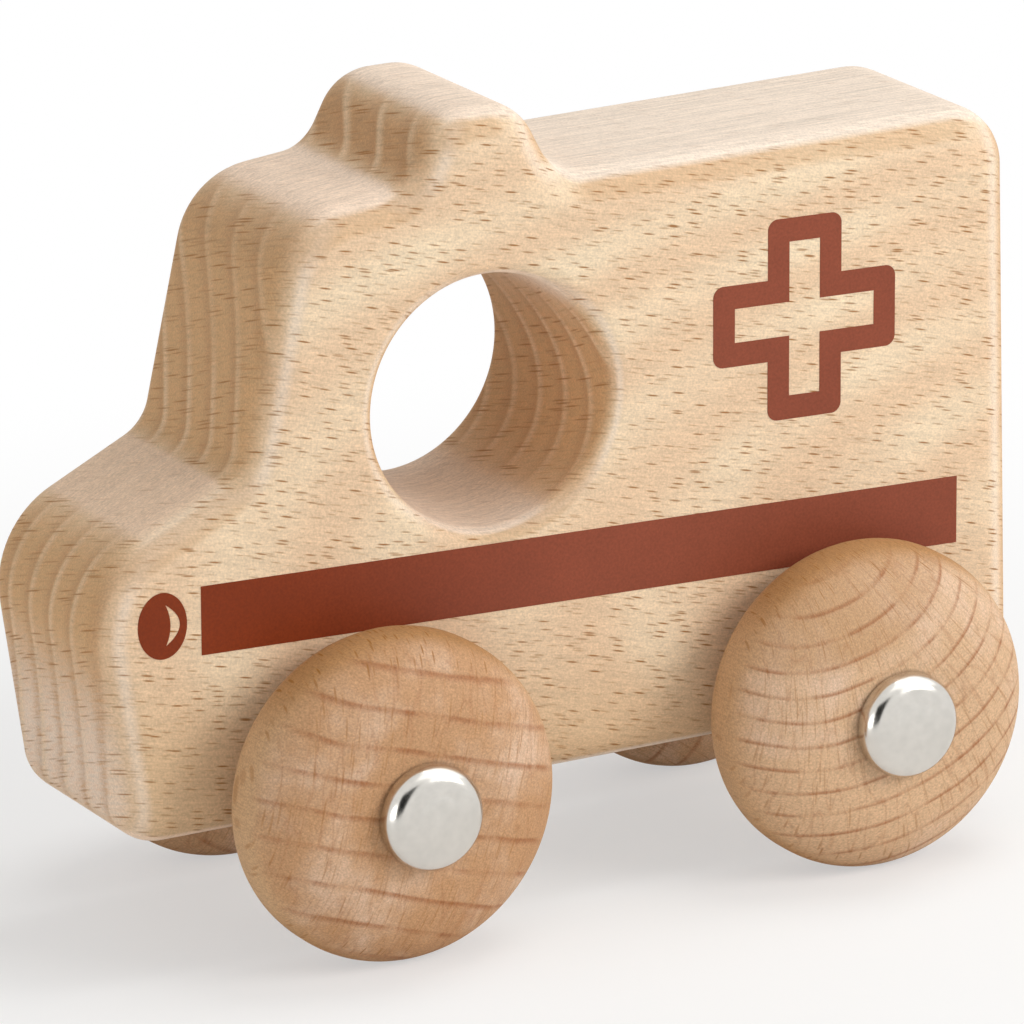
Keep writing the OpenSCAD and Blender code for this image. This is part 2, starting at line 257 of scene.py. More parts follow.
def rounded(corners):
    """A closed outline through (x, z, radius) corners, with each corner drawn as an arc."""
    points = []
    for i, (x, z, radius) in enumerate(corners):
        at = Vector((x, z))
        before = Vector(corners[i - 1][:2])
        after = Vector(corners[(i + 1) % len(corners)][:2])
        arriving = (at - before).normalized()
        leaving = (after - at).normalized()
        turn = math.atan2(arriving.cross(leaving), arriving.dot(leaving))
        inward = Vector((-arriving.y, arriving.x)) * math.copysign(radius, turn)
        middle = at - arriving * radius * math.tan(abs(turn) / 2) + inward
        steps = math.ceil(abs(turn) / ARC_STEP) if radius else 0
        points.extend(middle - Matrix.Rotation(turn * k / steps, 2) @ inward
                      for k in range(steps + 1) if steps)
        if not steps:
            points.append(at)
    return points


def quarter_turn(steps):
    """The angles of a quarter turn, step by step."""
    return [math.pi / 2 * k / steps for k in range(steps + 1)]


def draw_line(name, points, closed=False):
    """A new object in edit mode with one chain of edges, extruded from point to point."""
    bpy.ops.mesh.primitive_plane_add()
    piece = bpy.context.object
    piece.name = name
    piece.data.name = name
    bpy.ops.object.mode_set(mode="EDIT")
    bpy.ops.mesh.select_mode(type="VERT")
    bpy.ops.mesh.merge(type="CENTER")
    bpy.ops.transform.translate(value=points[0])
    stops = points + points[:1] if closed else points
    for here, there in zip(stops, stops[1:]):
        bpy.ops.mesh.extrude_vertices_move(TRANSFORM_OT_translate={"value": there - here})
    weld()
    return piece


def weld():
    """Merges vertices that lie on each other, all over the piece in edit mode."""
    bpy.ops.mesh.select_all(action="SELECT")
    bpy.ops.mesh.remove_doubles(threshold=WELD)


def close_up():
    """Welds the piece in edit mode, turns its faces outwards and leaves edit mode."""
    weld()
    bpy.ops.mesh.normals_make_consistent(inside=False)
    bpy.ops.object.mode_set(mode="OBJECT")


def turn_round(axis_point):
    """Spins the drawn profile once round a line along Y and closes it up."""
    bpy.ops.mesh.select_all(action="SELECT")
    bpy.ops.mesh.spin(steps=TURNED_STEPS, angle=2 * math.pi, center=axis_point, axis=AXLE_LINE)
    close_up()


def select(piece, kind, wanted):
    """Selects the edges or faces of the piece in edit mode for which wanted(one of them) is true."""
    bpy.ops.mesh.select_mode(type=kind)
    bpy.ops.mesh.select_all(action="DESELECT")
    mesh = bmesh.from_edit_mesh(piece.data)
    for part in mesh.edges if kind == "EDGE" else mesh.faces:
        if wanted(part):
            part.select_set(True)
    bmesh.update_edit_mesh(piece.data)


def lies_on(part, y):
    """True where an edge or face lies in the plane of one side face."""
    return all(abs(v.co.y - y) < WELD for v in part.verts)


def only(*pieces):
    """Selects these objects alone, the first one active."""
    bpy.ops.object.select_all(action="DESELECT")
    for piece in pieces:
        piece.select_set(True)
    bpy.context.view_layer.objects.active = pieces[0]


def apply_modifier(piece, kind, **settings):
    """Adds one modifier to the piece and applies it."""
    only(piece)
    bpy.ops.object.modifier_add(type=kind)
    modifier = piece.modifiers[-1]
    for key, value in settings.items():
        setattr(modifier, key, value)
    bpy.ops.object.modifier_apply(modifier=modifier.name)


def twin(piece, name, shift, half_turn_about=None):
    """A copy of a piece with its own mesh, turned half round an upright line if asked, and shifted."""
    only(piece)
    bpy.ops.object.duplicate(linked=False)
    copy = bpy.context.object
    copy.name = name
    copy.data.name = name
    bpy.ops.object.mode_set(mode="EDIT")
    bpy.ops.mesh.select_all(action="SELECT")
    if half_turn_about:
        bpy.ops.transform.rotate(value=math.pi, orient_axis="Z", center_override=half_turn_about)
    bpy.ops.transform.translate(value=shift)
    bpy.ops.object.mode_set(mode="OBJECT")
    return copy


def copy_to_wheels(piece, part, name):
    """A front left piece and its copies at the other wheels, by wheel, at the CAD nodes of one part."""
    home = centre(f"{WHEELS[0]}_{part}")
    pieces = {WHEELS[0]: piece}
    for wheel in WHEELS[1:]:
        turned = home if wheel.endswith("right") else None
        pieces[wheel] = twin(piece, f"{wheel}_{name}", centre(f"{wheel}_{part}") - home, turned)
    return pieces


def finish(piece, body, node, slot, *materials):
    """Gives a finished piece its materials and ties it to the frame."""
    piece.data.materials.clear()
    for material in materials:
        piece.data.materials.append(material)
    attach(piece, body)
    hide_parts(node)


def add(tree, kind, inputs=None, **settings):
    """Adds one node with its settings. Inputs are values, sockets or nodes, by name or number."""
    node = tree.nodes.new(kind)
    for key, value in settings.items():
        setattr(node, key, value)
    for key, value in (inputs or {}).items():
        socket = node.inputs[key] if isinstance(key, int) else next(
            s for s in node.inputs if s.enabled and s.name == key)
        if isinstance(value, bpy.types.Node):
            value = next(s for s in value.outputs if s.enabled)
        if isinstance(value, bpy.types.NodeSocket):
            tree.links.new(value, socket)
        elif socket.type == "RGBA":
            socket.default_value = (*value[:3], 1.0)
        else:
            socket.default_value = value
    return node


def new_material(name):
    """An empty node material."""
    material = bpy.data.materials.new(name)
    material.use_nodes = True
    material.node_tree.nodes.clear()
    return material, material.node_tree


# Grains of uneven tone: their sizes along three axes in millimetres, then how many orders of finer
# grains they hold and how strong those are, where these aren't the usual ones of noise()
FIBRES = ((10.0, 0.2, 0.2), 2.0, 0.65)
TOP_FIBRES = ((14.0, 0.5, 0.5), 4.0, 0.7)
SIDE_STREAKS = ((6.0, 7.0, 0.4), 3.0, 0.6)
END_STREAKS = ((10.0, 3.0, 0.4), 3.0, 0.6)
PORES = ((0.26,) * 3, 1.5)
CLOUDS = ((22.0,) * 3,)
WAVES = ((34.0,) * 3, 1.5)
WHEEL_ZONES = ((22.0, 11.0, 11.0), 3.0, 0.6)
WHEEL_PATCHES = ((5.0,) * 3, 4.0, 0.6)
WHEEL_WAVES = ((18.0,) * 3,)
WHEEL_RAYS = ((10.0, 12.0, 1.6), 1.0)
INK_GRAINS = ((0.3,) * 3, 3.0)
INK_CLOUDS = ((9.0,) * 3,)
METAL_DETAIL = 4.0
# Mean of such a tone, and the span that most of it keeps to
GRAIN_MEAN = 0.5
GRAIN_SPAN = (0.25, 0.75)
# The narrower span in which clouds and patches make other grains fade
CLOUD_SPAN = (0.3, 0.7)

# The block's fibre runs a little askew to it, and its growth rings bend round a pith on the right of it.
# Distances along the rings are measured at the pith's reach.
FIBRE = Vector((1.0, -0.3, -0.14))
PITH = (-45.0, 34.0)
PITH_REACH = 60.0
RING_SPACING = 5.7
FIRST_RING = 0.35
# Spacing of the rays along the fibre, along themselves and across, and their climb to the left side
RAY_SPACING = (3.0, 7.0, 0.4)
RAY_CLIMB = math.radians(17)
# Waver of the rings, in rings, and of the rays, in millimetres
RING_WAVER = 0.35
WHEEL_WAVER = 0.5
RAY_WAVER = 3.0
# What faces these ways shows end grain, is quarter-sawn or lies square to the rays
END_GRAIN = Vector((1.0, 0.0, -0.19)).normalized()
QUARTERED = Vector((0.19, 0.0, 1.0)).normalized()
FLAT_SAWN = Vector((0.2, 0.8, -0.57)).normalized()
UPWARDS = (0.0, 0.0, 1.0)

# How squarely a surface has to face for each kind of grain to begin to show, and to show fully
ENDS_SHOW = (0.42, 0.97)
TOPS_SHOW = (0.68, 0.84)
FLAT_SHOWS = (0.9, 0.98)
WHEEL_FACE_SHOWS = (0.2, 0.75)
WHEEL_FLAT_SHOWS = (0.45, 0.85)
# Heights between which painted shade darkens the sides and painted bounce light pales the end grain near
# the underside, and between which the beacon's end grain turns browner
UNDERSIDE_PAINTED_LIGHT = (34.0, 17.0)
BROWN_ABOVE = (70.0, 88.0)
# Places along the block between which the tops turn pinker and the ink darker, towards the nose
TOPS_PINK = (15.0, -45.0)
INK_DARKER_FORWARD = (-45.0, 5.0)
# Edge and full tone of a fleck, as shares of the rays' spacing from its middle
FLECK_EDGE = (0.38, 0.12)
WHEEL_FLECK_EDGE = (0.34, 0.16)
# Start, peak and end of late wood and of the pale line, in rings from the boundary of two rings
LATE_WOOD = (-0.48, -0.07, 0.06)
RING_LINE = (-0.08, 0.05, 0.28)
WHEEL_LATE_WOOD = (-0.2, -0.02, 0.07)
# The same for a painted highlight, a pale band along the rounded edges beside the end grain, by how
# squarely they face along the end grain
EDGE_HIGHLIGHT_SPAN = (0.15, 0.42, 0.65)
# Strength of each feature over the plain wood
EDGE_HIGHLIGHT_SHARE = 0.5
FLAT_SHARE = 0.5
BEACON_SHARE = 0.5
LATE_SHARE = 0.2
RAY_SHARE = 0.25
HEART_SHARE = 0.45
# How far the flecks sink below the fibres
FLECK_RELIEF = -0.8
# Half the width of a wheel's thin rays, as a span of tone, and of its heart's soft edge, in millimetres
RAY_HALF = 0.03
HEART_EDGE = 1.5


def calc(tree, operation, *values, **settings):
    """Arithmetic on numbers."""
    return add(tree, "ShaderNodeMath", dict(enumerate(values)), operation=operation, **settings)


def vector(tree, operation, *values):
    """Arithmetic on points and directions."""
    return add(tree, "ShaderNodeVectorMath", dict(enumerate(values)), operation=operation)


def times(tree, first, second):
    """The product of two numbers."""
    return calc(tree, "MULTIPLY", first, second)


def scale(tree, point, share):
    """A point or a colour, times a number."""
    return add(tree, "ShaderNodeVectorMath", {0: point, "Scale": share}, operation="SCALE")


def split(tree, point):
    """The three numbers of a point."""
    return add(tree, "ShaderNodeSeparateXYZ", {"Vector": point}).outputs


def millimetres(tree):
    """The point to be shaded, in millimetres, and the way in which the surface faces there."""
    coordinates = add(tree, "ShaderNodeTexCoord").outputs
    return scale(tree, coordinates["Object"], 1 / MM), coordinates["Normal"]


def project(tree, point, *ways):
    """Distances of a point along three directions."""
    reach = [vector(tree, "DOT_PRODUCT", point, way) for way in ways]
    return add(tree, "ShaderNodeCombineXYZ", dict(zip("XYZ", reach)))


def facing(tree, normal, way):
    """How far a surface faces along a direction, from 0 to 1."""
    return calc(tree, "ABSOLUTE", vector(tree, "DOT_PRODUCT", normal, way))


def between(tree, value, low, high, start=0.0, end=1.0, **settings):
    """An even change from low to high while a value runs from start to end."""
    return add(tree, "ShaderNodeMapRange", {"Value": value, "From Min": start, "From Max": end,
                                            "To Min": low, "To Max": high}, **settings)


def ramp(tree, value, start, end, low=0.0, high=1.0):
    """A smooth change from low to high while a value runs from start to end."""
    return between(tree, value, low, high, start, end, interpolation_type="SMOOTHSTEP")


def hump(tree, value, start, top, end):
    """A smooth rise to 1 between start and top, and the fall to 0 between top and end."""
    return times(tree, ramp(tree, value, start, top), ramp(tree, value, end, top))


def blend(tree, share, first, second):
    """A mix of two colours."""
    return add(tree, "ShaderNodeMix", {"Factor": share, "A": first, "B": second}, data_type="RGBA")


def noise(tree, point, sizes, detail=2.0, roughness=0.5):
    """Uneven tone, from 0 to 1, with grains of these sizes along the three axes of a point."""
    cells = vector(tree, "MULTIPLY", point, [1 / s for s in sizes])
    return add(tree, "ShaderNodeTexNoise", {"Vector": cells, "Scale": 1.0, "Detail": detail,
                                            "Roughness": roughness})


def shade(tree, tone, grains, darkest, lightest):
    """Darkens and lightens a tone by its grains."""
    return scale(tree, tone, between(tree, grains, darkest, lightest, *GRAIN_SPAN))


def from_ring(tree, ring):
    """Distance from the nearest ring boundary, in rings, below zero on its late side."""
    return calc(tree, "WRAP", ring, 0.5, -0.5)


def tree_grain(tree, threads, pith, reach, spacing, first, waver):
    """Where a point lies in its tree: its distances along the fibre, from the pith and round it in
    millimetres, and the number of its ring. The first axis of the point runs along the fibre."""
    from_pith = vector(tree, "SUBTRACT", threads, (0.0, *pith))
    axes = split(tree, from_pith)
    radius = vector(tree, "LENGTH", vector(tree, "MULTIPLY", from_pith, (0.0, 1.0, 1.0)))
    ring = calc(tree, "ADD", calc(tree, "MULTIPLY_ADD", radius, 1 / spacing, first), waver)
    turn = calc(tree, "ARCTAN2", axes["Z"], axes["Y"])
    grain = add(tree, "ShaderNodeCombineXYZ",
                {"X": axes["X"], "Y": radius, "Z": times(tree, turn, reach)})
    return grain, ring


def ray_flecks(tree, grain, edge, full):
    """Cut ends of the rays: spindles along the fibre on a flat-sawn face, streaks on end grain."""
    cells = vector(tree, "MULTIPLY", grain, [1 / s for s in RAY_SPACING])
    rays = add(tree, "ShaderNodeTexVoronoi", {"Vector": cells, "Scale": 1.0}).outputs
    chance = add(tree, "ShaderNodeSeparateColor", {"Color": rays["Color"]}).outputs["Red"]
    tone = ramp(tree, chance, start=0.0, end=1.0, low=0.3)
    return times(tree, ramp(tree, rays["Distance"], edge, full), tone)


def ray_lines(tree, grain):
    """Rays seen along their length on a turned face: thin lines straight across the growth rings."""
    level = calc(tree, "SUBTRACT", noise(tree, grain, *WHEEL_RAYS), GRAIN_MEAN)
    return between(tree, calc(tree, "ABSOLUTE", level), 0.0, 1.0, RAY_HALF, 0.0)


def surface(material, tree, relief, inputs):
    """Ends a material in a shader with these inputs and a fine relief."""
    bump = add(tree, "ShaderNodeBump", relief)
    shader = add(tree, "ShaderNodeBsdfPrincipled", {"Normal": bump, **inputs})
    add(tree, "ShaderNodeOutputMaterial", {"Surface": shader})
    return material


def waxed_wood(material, tree, tone, fibre, fleck):
    """Sanded and waxed wood: a dull sheen, with the fibres and open rays just felt."""
    height = calc(tree, "MULTIPLY_ADD", fleck, FLECK_RELIEF, fibre)
    roughness = between(tree, fibre, low=0.58, high=0.78)
    return surface(material, tree, {"Strength": 0.35, "Distance": 0.03 * MM, "Height": height},
                   {"Base Color": tone, "Roughness": roughness, "IOR": 1.5, "Specular IOR Level": 0.25})


def sanded_beech(finishes):
    """Beech block, sanded and waxed: cream flat-sawn sides with brown ray flecks and broad soft
    bands, brown end grain with pale ring lines, and pinkish quarter-sawn tops with fine fibres."""
    material, tree = new_material("Sanded beech")
    point, normal = millimetres(tree)
    threads = project(tree, point, (1.0, 0.0, 0.0), (FIBRE.y, -1.0, 0.0), (-FIBRE.z, 0.0, 1.0))
    wave = noise(tree, point, *WAVES)
    grain, ring = tree_grain(tree, threads, PITH, PITH_REACH, RING_SPACING, FIRST_RING,
                             times(tree, wave, RING_WAVER))
    along, across = math.cos(RAY_CLIMB), math.sin(RAY_CLIMB)
    climbing = project(tree, threads, (1.0, 0.0, 0.0), (0.0, along, across), (0.0, -across, along))
    sway = add(tree, "ShaderNodeCombineXYZ", {"Z": times(tree, wave, RAY_WAVER)})
    rays = vector(tree, "ADD", climbing, sway)
    axes = split(tree, threads)
    place_in_ring = from_ring(tree, ring)
    fleck = ray_flecks(tree, rays, *FLECK_EDGE)
    fibre = noise(tree, threads, *FIBRES)
    cloud = noise(tree, grain, *CLOUDS)
    # Painted shade on the sides and painted bounce light on the end grain, near the underside
    low = ramp(tree, axes["Z"], *UNDERSIDE_PAINTED_LIGHT)
    end_facing = facing(tree, normal, END_GRAIN)
    ends = ramp(tree, end_facing, *ENDS_SHOW)
    tops = ramp(tree, facing(tree, normal, QUARTERED), *TOPS_SHOW)
    # Rounded edges square to the rays turn browner: partly the grain's own tone, partly painted shade
    flat_sawn = ramp(tree, facing(tree, normal, FLAT_SAWN), *FLAT_SHOWS, high=FLAT_SHARE)

    swing = calc(tree, "ABSOLUTE", place_in_ring)
    band = times(tree, ramp(tree, swing, start=0.05, end=0.45), ramp(tree, cloud, *CLOUD_SPAN, low=0.3))
    banded = blend(tree, band, finishes.board_late, finishes.board)
    # Painted shade darkens the sides near the underside
    board = shade(tree, blend(tree, low, banded, finishes.board_painted_shade),
                  noise(tree, rays, *SIDE_STREAKS), darkest=0.9, lightest=1.1)
    # Painted highlight: a pale band of the quartered tone along the rounded edges beside the end grain
    painted_edge_highlight = times(tree, hump(tree, end_facing, *EDGE_HIGHLIGHT_SPAN), EDGE_HIGHLIGHT_SHARE)
    side = blend(tree, flat_sawn, blend(tree, painted_edge_highlight, board, finishes.flake), finishes.edge)

    pink = blend(tree, ramp(tree, axes["X"], *TOPS_PINK), finishes.flake, finishes.flake_front)
    top = shade(tree, pink, noise(tree, point, *TOP_FIBRES), darkest=0.78, lightest=1.17)

    streak = noise(tree, rays, *END_STREAKS)
    late = times(tree, hump(tree, place_in_ring, *LATE_WOOD), LATE_SHARE)
    brown = ramp(tree, calc(tree, "ADD", streak, late), start=0.25, end=1.1)
    # Painted bounce light pales the end grain near the underside; the beacon's end grain turns browner
    # towards its top
    sawn = blend(tree, ramp(tree, axes["Z"], *BROWN_ABOVE, high=BEACON_SHARE),
                 blend(tree, low, finishes.end, finishes.end_painted_bounce), finishes.end_late)
    line = times(tree, hump(tree, place_in_ring, *RING_LINE),
                 ramp(tree, cloud, *CLOUD_SPAN, low=0.2, high=0.7))
    ringed = blend(tree, line, blend(tree, brown, sawn, finishes.end_late), finishes.ring)
    end = shade(tree, ringed, streak, darkest=0.78, lightest=1.22)

    faced = blend(tree, ends, blend(tree, tops, side, top), end)
    fibred = shade(tree, faced, fibre, darkest=0.88, lightest=1.1)
    porous = shade(tree, fibred, noise(tree, grain, *PORES), darkest=0.88, lightest=1.12)
    showing = times(tree, between(tree, tops, low=0.92, high=0.15),
                    between(tree, ends, low=1.0, high=0.8))
    tone = blend(tree, times(tree, fleck, showing), porous, finishes.fleck)
    return waxed_wood(material, tree, tone, fibre, fleck)


def turned_beech(finishes, name, middle, pith, spacing, heart, light):
    """Beech wheel, turned across the end grain and waxed: a pinkish face with thin brown growth
    rings, pale zones, fine rays square to the rings and a browner heart, and a yellower rim.
    The pith is given from the wheel's middle, back and up."""
    material, tree = new_material(name)
    point, normal = millimetres(tree)
    threads = project(tree, point, AXLE_LINE, (1.0, 0.0, 0.0), UPWARDS)
    wave = noise(tree, point, *WHEEL_WAVES)
    offset = Vector((pith[0], 0.0, pith[1]))
    grain, ring = tree_grain(tree, threads, (middle + offset).xz, offset.length, spacing, 0.0,
                             times(tree, wave, WHEEL_WAVER))
    fleck = ray_flecks(tree, grain, *WHEEL_FLECK_EDGE)
    fibre = noise(tree, grain, *FIBRES)
    patches = noise(tree, grain, *WHEEL_PATCHES)

    zones = ramp(tree, noise(tree, grain, *WHEEL_ZONES), start=0.42, end=0.66)
    pale = times(tree, zones, ramp(tree, patches, *CLOUD_SPAN, low=0.35, high=0.8))
    plain = blend(tree, light, finishes.wheel_face, finishes.wheel_light)
    from_pith = split(tree, grain)["Y"]
    hearted = ramp(tree, from_pith, heart + HEART_EDGE, heart - HEART_EDGE, high=HEART_SHARE)
    face = blend(tree, hearted, blend(tree, pale, plain, finishes.wheel_pale), finishes.wheel_flat)
    late = hump(tree, from_ring(tree, ring), *WHEEL_LATE_WOOD)
    rings = times(tree, late, ramp(tree, patches, start=0.38, end=0.6, low=0.15, high=0.7))
    dark = calc(tree, "MULTIPLY_ADD", ray_lines(tree, grain), RAY_SHARE, rings, use_clamp=True)
    ringed = blend(tree, dark, face, finishes.wheel_late)

    flat_sawn = ramp(tree, facing(tree, normal, UPWARDS), *WHEEL_FLAT_SHOWS)
    rim = blend(tree, flat_sawn, finishes.wheel_rim, finishes.wheel_flat)
    faced = blend(tree, ramp(tree, facing(tree, normal, AXLE_LINE), *WHEEL_FACE_SHOWS), rim, ringed)
    fibred = shade(tree, faced, fibre, darkest=0.86, lightest=1.12)
    porous = shade(tree, fibred, noise(tree, grain, *PORES), darkest=0.82, lightest=1.18)
    showing = between(tree, flat_sawn, low=0.4, high=0.9)
    tone = blend(tree, times(tree, fleck, showing), porous, finishes.fleck)
    return waxed_wood(material, tree, tone, fibre, fleck)


def printed_ink(name, full, thin):
    """Screen-printed ink on sanded wood: a satin brownish red with a fine grain, darker towards the
    nose."""
    material, tree = new_material(name)
    point, _ = millimetres(tree)
    tone = blend(tree, ramp(tree, split(tree, point)["X"], *INK_DARKER_FORWARD), full, thin)
    grain = noise(tree, point, *INK_GRAINS)
    mottled = shade(tree, tone, noise(tree, point, *INK_CLOUDS), darkest=0.93, lightest=1.07)
    red = shade(tree, mottled, grain, darkest=0.85, lightest=1.15)
    roughness = between(tree, grain, low=0.38, high=0.56)
    return surface(material, tree, {"Strength": 0.3, "Distance": 0.02 * MM, "Height": grain},
                   {"Base Color": red, "Roughness": roughness, "IOR": 1.5, "Specular IOR Level": 0.2})


def plain_metal(name, tone, smooth, rough, grit):
    """Bare or plated metal with a fine uneven polish of the given grit in millimetres."""
    material, tree = new_material(name)
    point, _ = millimetres(tree)
    polish = noise(tree, point, (grit,) * 3, METAL_DETAIL)
    tint = shade(tree, tone, polish, darkest=0.94, lightest=1.04)
    return surface(material, tree, {"Strength": 0.12, "Distance": 0.01 * MM, "Height": polish},
                   {"Base Color": tint, "Roughness": between(tree, polish, smooth, rough),
                    "Metallic": 1.0})


class AMBULANCE_OT_block(bpy.types.Operator):
    """Shape the block: outline, thickness, rounded edges, window and axle bores"""
    bl_idname = "ambulance.block"
    bl_label = "Beech block"

    def execute(self, context):
        b = context.scene.ambulance_block
        low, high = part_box("body_block")
        half = b.thickness / 2
        beacon_front = b.beacon_setback - b.beacon_foot / 2
        beacon_rear = b.beacon_setback + b.beacon_foot / 2
        corners = [
            (b.nose_height * math.tan(b.nose_lean), 0.0, b.foot_round),
            (0.0, b.nose_height, b.nose_round),
            (b.cowl_setback, b.cowl_height, b.cowl_round),
            (b.cab_setback, b.cab_height, b.cab_round),
            (beacon_front, b.roof_height, b.beacon_foot_round),
            (b.beacon_setback - b.beacon_top / 2, b.beacon_height, b.beacon_round),
            (b.beacon_setback + b.beacon_top / 2, b.beacon_height, b.beacon_round),
            (beacon_rear, b.box_height, b.beacon_foot_round),
            (b.length - b.tail_height * math.tan(b.tail_lean), b.tail_height, b.tail_round),
            (b.length, 0.0, b.foot_round),
        ]
        outline = rounded(corners)
        # The rounded outline is fitted to the length of the CAD block
        front = min(p.x for p in outline)
        fit = (high.x - low.x) / (max(p.x for p in outline) - front)
        points = [Vector((low.x + (p.x - front) * fit, -half, low.z + p.y)) for p in outline]

        block = draw_line("beech_block", points, closed=True)
        bpy.ops.mesh.edge_face_add()
        bpy.ops.mesh.extrude_region_move(TRANSFORM_OT_translate={"value": (0, b.thickness, 0)})
        bpy.ops.mesh.select_all(action="SELECT")
        bpy.ops.mesh.normals_make_consistent(inside=False)
        select(block, "EDGE", lambda e: lies_on(e, -half) or lies_on(e, half))
        bpy.ops.mesh.bevel(offset=b.edge_round, segments=ROUND_STEPS, affect="EDGES")
        select(block, "FACE", lambda f: lies_on(f, -half) or lies_on(f, half))
        bpy.ops.mesh.delete(type="ONLY_FACE")
        bpy.ops.object.mode_set(mode="OBJECT")

        window = Vector((low.x + (b.window_setback - front) * fit, 0.0, low.z + b.window_height))
        tube = self.window_tube(b, window)
        only(block, tube)
        bpy.ops.object.join()
        bpy.ops.object.mode_set(mode="EDIT")
        for side in (-half, half):
            select(block, "EDGE", lambda e: lies_on(e, side))
            bpy.ops.mesh.fill(use_beauty=True)
        close_up()

        self.drill(block, b)
        only(block)
        bpy.ops.object.shade_smooth_by_angle(angle=SMOOTH_ANGLE)
        apply_modifier(block, "WEIGHTED_NORMAL", keep_sharp=True)
        wood = sanded_beech(context.scene.ambulance_finishes)
        finish(block, "body", "body_block", "beech_block", wood)
        return {"FINISHED"}

    def window_tube(self, b, window):
        """The wall of the window, with a rounded rim at both ends."""
        half = b.thickness / 2
        r = b.window_diameter / 2 + b.window_round
        rim = [(r - b.window_round * math.sin(a), half - b.window_round * (1 - math.cos(a)))
               for a in quarter_turn(ROUND_STEPS)]
        profile = [(radius, -y) for radius, y in rim] + rim[::-1]
        tube = draw_line("window", [window + Vector((0, y, radius)) for radius, y in profile])
        turn_round(window)
        return tube

    def drill(self, block, b):
        """Cuts the two cross bores for the axle rods."""
        for end in ENDS:
            rod = f"{end}_axle"
            bpy.ops.mesh.primitive_cylinder_add(
                vertices=BORE_STEPS, radius=extent(rod).z / 2 + b.bore_clearance,
                depth=2 * b.thickness, location=centre(rod), rotation=(math.pi / 2, 0, 0))
            drill = bpy.context.object
            faces = len(block.data.polygons)
            apply_modifier(block, "BOOLEAN", object=drill, operation="DIFFERENCE", solver="EXACT")
            if len(block.data.polygons) == faces:
                raise RuntimeError(f"the bore for {rod} didn't cut the block")
            only(drill)
            bpy.ops.object.delete()


class AMBULANCE_OT_wheels(bpy.types.Operator):
    """Turn one wheel and copy it to the four places"""
    bl_idname = "ambulance.wheels"
    bl_label = "Turned wheels"

    # Pith of the tree back and up from each wheel's centre, spacing of the rings and radius of the
    # browner heart, in millimetres, and the share of the lighter face tone
    GROWTH = {
        "front_left": ((-50.0, -160.0), 4.3, 0.0, 0.0),
        "front_right": ((60.0, 90.0), 3.6, 0.0, 0.5),
        "rear_left": ((-11.5, 34.0), 3.0, 26.5, 1.0),
        "rear_right": ((45.0, -50.0), 3.9, 0.0, 0.5),
    }

    def execute(self, context):
        w = context.scene.ambulance_wheels
        finishes = context.scene.ambulance_finishes
        first = f"{WHEELS[0]}_wheel"
        axle = centre(first)
        inner_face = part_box(first)[1].y
        rim = w.diameter / 2
        hub = w.hub / 2
        inner_edge = [(rim - w.inner_round * (1 - math.sin(a)), w.inner_round * (1 - math.cos(a)))
                      for a in quarter_turn(ROUND_STEPS)]
        dome = [(hub + (rim - hub) * math.cos(a), w.width - w.dome * (1 - math.sin(a)))
                for a in quarter_turn(DOME_STEPS)]
        profile = [(w.bore / 2, 0.0), *inner_edge, *dome, (w.bore / 2, w.width)]
        points = [Vector((axle.x, inner_face - out, axle.z + radius)) for radius, out in profile]
        wheel = draw_line(f"{WHEELS[0]}_turned_wheel", points, closed=True)
        turn_round(axle)
        bpy.ops.object.shade_smooth_by_angle(angle=SMOOTH_ANGLE)
        for name, piece in copy_to_wheels(wheel, "wheel", "turned_wheel").items():
            wood = turned_beech(finishes, f"Turned beech {name.replace('_', ' ')}",
                                centre(f"{name}_wheel") / MM, *self.GROWTH[name])
            finish(piece, f"{name}_wheel", f"{name}_wheel", "turned_beech", wood)
        return {"FINISHED"}


class AMBULANCE_OT_caps(bpy.types.Operator):
    """Press one axle cap from sheet and copy it to the four rod ends"""
    bl_idname = "ambulance.caps"
    bl_label = "Axle caps"

    # Radius and width of the stamped ring, as shares of the face's radius
    STAMP_RADIUS = 0.72
    STAMP_WIDTH = 0.09

    def execute(self, context):
        w = context.scene.ambulance_wheels
        nickel = plain_metal("Polished nickel plate", context.scene.ambulance_finishes.nickel,
                             smooth=0.12, rough=0.3, grit=1.3)
        first = f"{WHEELS[0]}_cap"
        axle = centre(first)
        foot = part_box(first)[1].y
        outer = w.cap_diameter / 2
        flat = outer - w.cap_round
        shoulder = w.cap_height - w.cap_crown
        edge = [(flat + w.cap_round * math.cos(a), shoulder - w.cap_round * (1 - math.sin(a)))
                for a in quarter_turn(ROUND_STEPS)]
        face = [(flat * s, shoulder + w.cap_crown * (1 - s * s) - w.dent * self.stamp(s))
                for s in (1 - k / CROWN_STEPS for k in range(1, CROWN_STEPS + 1))]
        profile = [(outer - w.cap_lip, 0.0), (outer, 0.0), *edge, *face]
        points = [Vector((axle.x, foot - out, axle.z + radius)) for radius, out in profile]
        cap = draw_line(f"{WHEELS[0]}_axle_cap", points)
        turn_round(Vector((axle.x, foot, axle.z)))
        apply_modifier(cap, "SOLIDIFY", thickness=w.cap_wall, offset=-1.0)
        bpy.ops.object.shade_smooth_by_angle(angle=SMOOTH_ANGLE)
        for name, piece in copy_to_wheels(cap, "cap", "axle_cap").items():
            finish(piece, f"{name.split('_')[0]}_axle", f"{name}_cap", "nickel_cap", nickel)
        return {"FINISHED"}

    def stamp(self, share):
        """Depth of the stamped ring at a share of the face's radius, from 0 to 1."""
        return math.exp(-((share - self.STAMP_RADIUS) / self.STAMP_WIDTH) ** 2)


